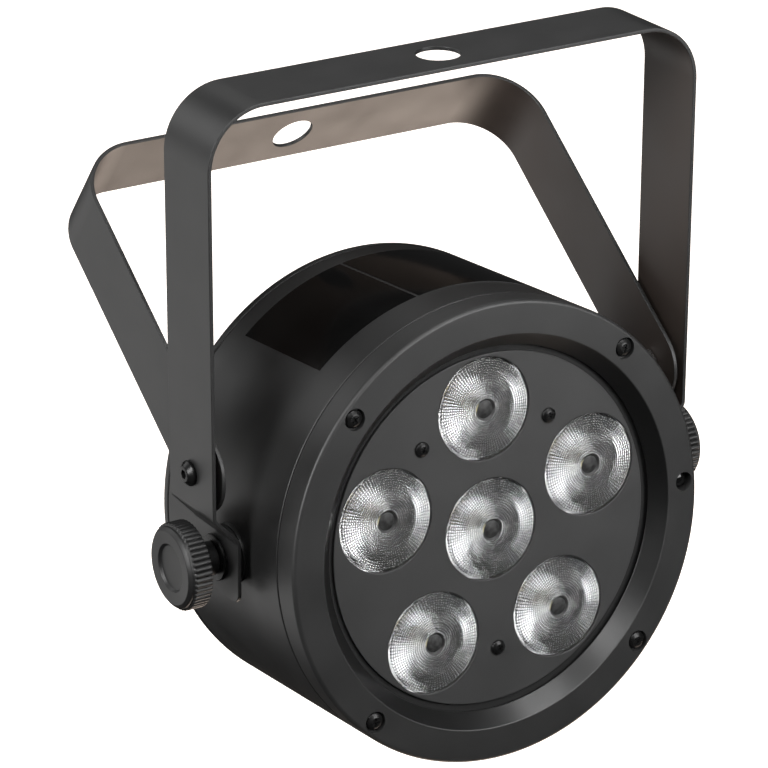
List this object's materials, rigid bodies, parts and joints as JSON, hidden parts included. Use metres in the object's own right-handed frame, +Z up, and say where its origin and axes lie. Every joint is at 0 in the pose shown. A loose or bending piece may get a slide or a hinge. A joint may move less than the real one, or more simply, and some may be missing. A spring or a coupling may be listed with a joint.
{
  "type": "par can stage light",
  "caption": "Small round LED wash light with dimpled clear lenses, hung by a crossbar hole in a bent-strip double yoke that also opens into a floor stand.",
  "frame": {"origin": "centre of the clamp hole in the outer yoke's crossbar, on the crossbar's top face", "axes": "+Z up, out of the crossbar's top face; X along the crossbar and the tilt axis; the light leaves towards -Y, slightly upwards at rest"},
  "size_m": [0.18, 0.1316, 0.2123],
  "materials": {
    "yoke_paint": "satin powder coat",
    "body_plastic": "satin, fine moulded grain",
    "plate_paint": "matt powder coat",
    "knob_plastic": "satin",
    "dark_gloss": "gloss",
    "lens_clear": "clear, dimpled front",
    "emitter_yellow": "gloss",
    "black_steel": "black zinc",
    "bright_steel": "zinc plated",
    "brass": "machined",
    "heat_sink": "as extruded",
    "rubber": "matt",
    "nylon": "natural",
    "white_board": "white solder resist",
    "green_board": "green solder resist"
  },
  "bodies": {
    "outer_yoke": {"outer_yoke": "yoke_paint", "hinge_bolt_right": "black_steel", "hinge_bolt_left": "black_steel", "hinge_nut_right": "bright_steel", "hinge_nut_left": "bright_steel", "hinge_washer_right": "nylon", "hinge_washer_left": "nylon"},
    "inner_yoke": {"inner_yoke": "yoke_paint"},
    "lamp": {"pivot_pad_right": "rubber", "pivot_pad_left": "rubber", "pivot_insert_right": "brass", "pivot_insert_left": "brass", "housing_shell": "body_plastic", "front_bezel": "body_plastic", "face_plate": "plate_paint", "bezel_screw_1": "black_steel", "bezel_screw_2": "black_steel", "bezel_screw_3": "black_steel", "bezel_screw_4": "black_steel", "ir_receiver": "dark_gloss", "face_screw_1": "black_steel", "face_screw_2": "black_steel", "face_screw_3": "black_steel", "lens_0": "lens_clear", "emitter_0": "emitter_yellow", "lens_1": "lens_clear", "emitter_1": "emitter_yellow", "lens_2": "lens_clear", "emitter_2": "emitter_yellow", "lens_3": "lens_clear", "emitter_3": "emitter_yellow", "lens_4": "lens_clear", "emitter_4": "emitter_yellow", "lens_5": "lens_clear", "emitter_5": "emitter_yellow", "led_board": "white_board", "heat_sink": "heat_sink", "power_supply": "green_board", "control_board": "green_board", "rear_cover": "body_plastic", "rear_screw_1": "black_steel", "rear_screw_2": "black_steel", "rear_screw_3": "black_steel", "rear_screw_4": "black_steel", "display_window": "dark_gloss", "data_in_socket": "black_steel", "data_out_socket": "black_steel", "power_inlet": "knob_plastic"},
    "knob_right": {"knob_right": "knob_plastic", "knob_stud_right": "bright_steel", "knob_washer_right": "black_steel"},
    "knob_left": {"knob_left": "knob_plastic", "knob_stud_left": "bright_steel", "knob_washer_left": "black_steel"},
    "menu_button_1": {"menu_button_1": "knob_plastic"},
    "menu_button_2": {"menu_button_2": "knob_plastic"},
    "menu_button_3": {"menu_button_3": "knob_plastic"},
    "menu_button_4": {"menu_button_4": "knob_plastic"}
  },
  "joints": [
    {"name": "lamp_tilt", "type": "hinge", "parent": "outer_yoke", "child": "lamp", "pos_m": [0, 0, -0.1392], "axis": [1, 0, 0], "continuous": true},
    {"name": "rear_yoke_swing", "type": "hinge", "parent": "outer_yoke", "child": "inner_yoke", "pos_m": [0, 0, -0.111], "axis": [-1, 0, 0], "range_deg": [-142.1, 37.9]},
    {"name": "knob_right_turn", "type": "hinge", "parent": "lamp", "child": "knob_right", "pos_m": [0.082, 0, -0.1392], "axis": [1, 0, 0], "range_deg": [0, 360]},
    {"name": "knob_left_turn", "type": "hinge", "parent": "lamp", "child": "knob_left", "pos_m": [-0.082, 0, -0.1392], "axis": [-1, 0, 0], "range_deg": [0, 360]},
    {"name": "menu_button_1_press", "type": "slide", "parent": "lamp", "child": "menu_button_1", "axis": [0, -0.9963, 0.0863], "range_m": [0, 0.0006], "stiffness_N_per_m": 600},
    {"name": "menu_button_2_press", "type": "slide", "parent": "lamp", "child": "menu_button_2", "axis": [0, -0.9963, 0.0863], "range_m": [0, 0.0006], "stiffness_N_per_m": 600},
    {"name": "menu_button_3_press", "type": "slide", "parent": "lamp", "child": "menu_button_3", "axis": [0, -0.9963, 0.0863], "range_m": [0, 0.0006], "stiffness_N_per_m": 600},
    {"name": "menu_button_4_press", "type": "slide", "parent": "lamp", "child": "menu_button_4", "axis": [0, -0.9963, 0.0863], "range_m": [0, 0.0006], "stiffness_N_per_m": 600}
  ]
}
